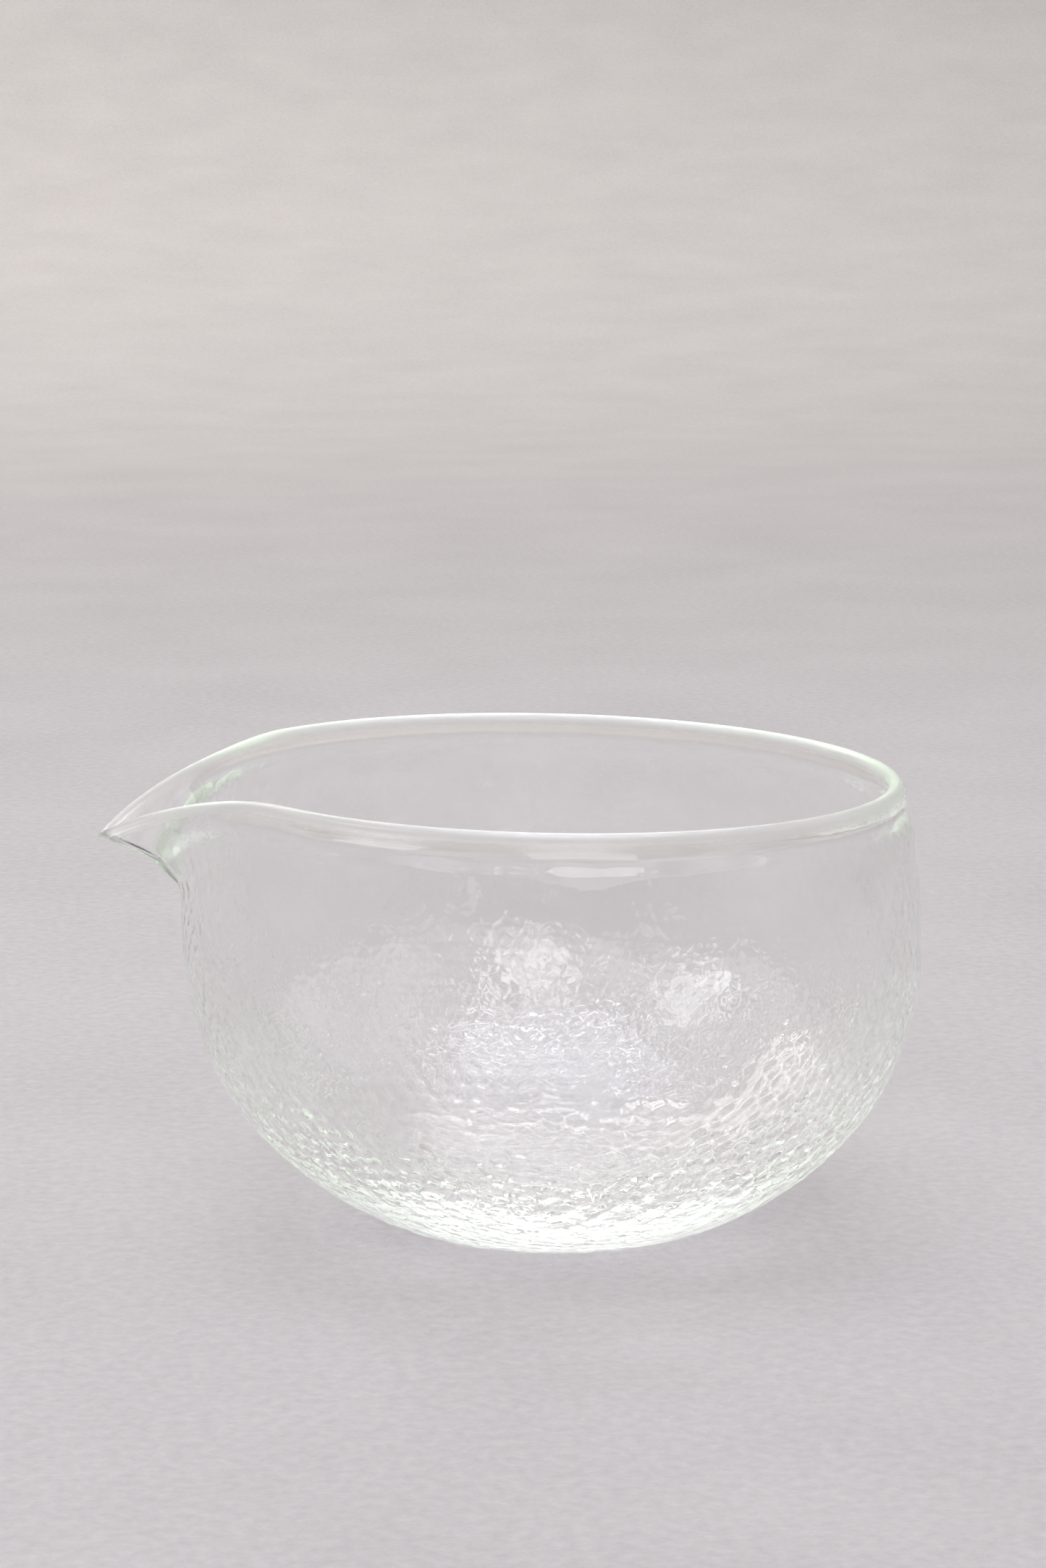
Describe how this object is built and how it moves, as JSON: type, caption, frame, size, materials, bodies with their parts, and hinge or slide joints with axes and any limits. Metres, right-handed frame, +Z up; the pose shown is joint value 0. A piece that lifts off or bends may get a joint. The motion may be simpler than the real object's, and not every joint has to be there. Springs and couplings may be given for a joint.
{
  "type": "spouted glass mixing bowl",
  "caption": "Small hand-blown clear glass bowl for mixing and pouring, with a hammered outside, a rounded rim bead and a beak-shaped spout, on a flat foot.",
  "frame": {"origin": "middle of the flat foot, on the plane that the bowl stands on", "axes": "+Z up along the bowl's axis, -X towards the tip of the spout, +Y completing a right-handed frame"},
  "size_m": [0.1437, 0.13, 0.0815],
  "materials": {
    "clear_glass": "clear, fire-polished inside and hammered outside"
  },
  "bodies": {
    "root": {"glass_bowl": "clear_glass"}
  },
  "joints": []
}
